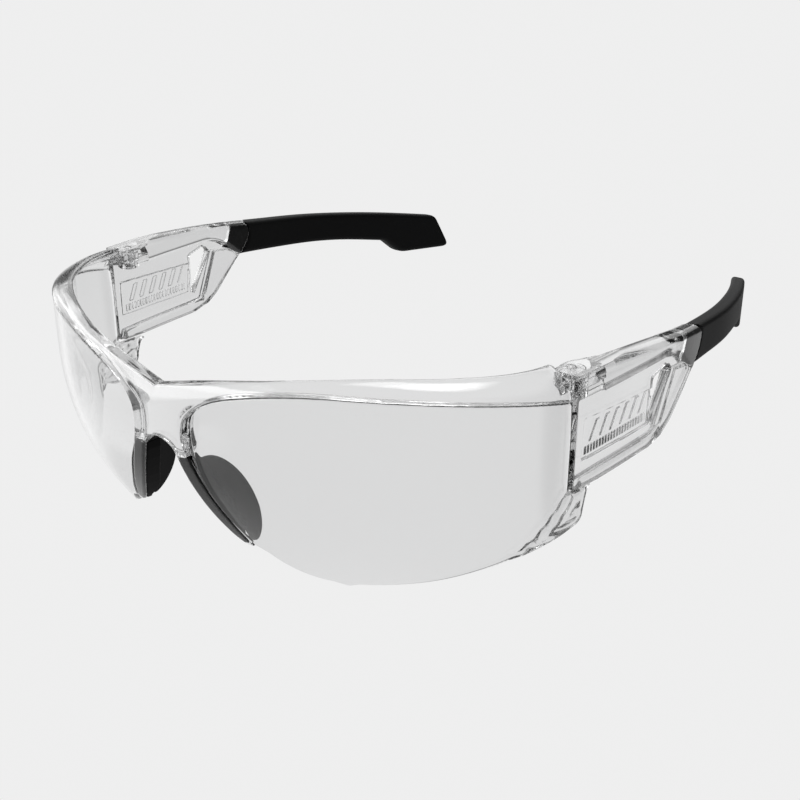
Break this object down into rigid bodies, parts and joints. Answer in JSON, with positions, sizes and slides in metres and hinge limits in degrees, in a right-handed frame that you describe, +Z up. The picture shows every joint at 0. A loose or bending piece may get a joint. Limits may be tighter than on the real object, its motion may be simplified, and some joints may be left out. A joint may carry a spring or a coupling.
{
  "type": "safety glasses",
  "caption": "Wrap-round clear safety glasses with a half-rim front, folding temples, soft black temple tips and soft nose pads.",
  "frame": {"origin": "centre of the bounding box's bottom face, on the middle plane of the glasses", "axes": "+X to the wearer's left, the front faces -Y and the temples run to +Y, +Z up as worn"},
  "size_m": [0.1394, 0.1617, 0.0479],
  "materials": {
    "clear_frame": "polished clear polycarbonate",
    "clear_lens": "polished clear polycarbonate with a hard coat",
    "pad_rubber": "matt soft rubber",
    "tip_rubber": "satin soft rubber",
    "core_plastic": "satin",
    "pin_plastic": "polished clear plastic"
  },
  "bodies": {
    "front": {"front_frame": "clear_frame", "lens_left": "clear_lens", "lens_right": "clear_lens", "nose_pad_left": "pad_rubber", "nose_pad_right": "pad_rubber", "hinge_pin_left": "pin_plastic", "hinge_pin_right": "pin_plastic"},
    "temple_arm_left": {"temple_left": "clear_frame", "temple_core_left": "core_plastic", "temple_tip_left": "tip_rubber"},
    "temple_arm_right": {"temple_right": "clear_frame", "temple_core_right": "core_plastic", "temple_tip_right": "tip_rubber"}
  },
  "joints": [
    {"name": "temple_left_fold", "type": "hinge", "parent": "front", "child": "temple_arm_left", "pos_m": [0.0632, -0.0324, 0.0424], "axis": [0, 0, 1], "range_deg": [0, 88]},
    {"name": "temple_right_fold", "type": "hinge", "parent": "front", "child": "temple_arm_right", "pos_m": [-0.0632, -0.0324, 0.0424], "axis": [0, 0, -1], "range_deg": [0, 74]}
  ]
}
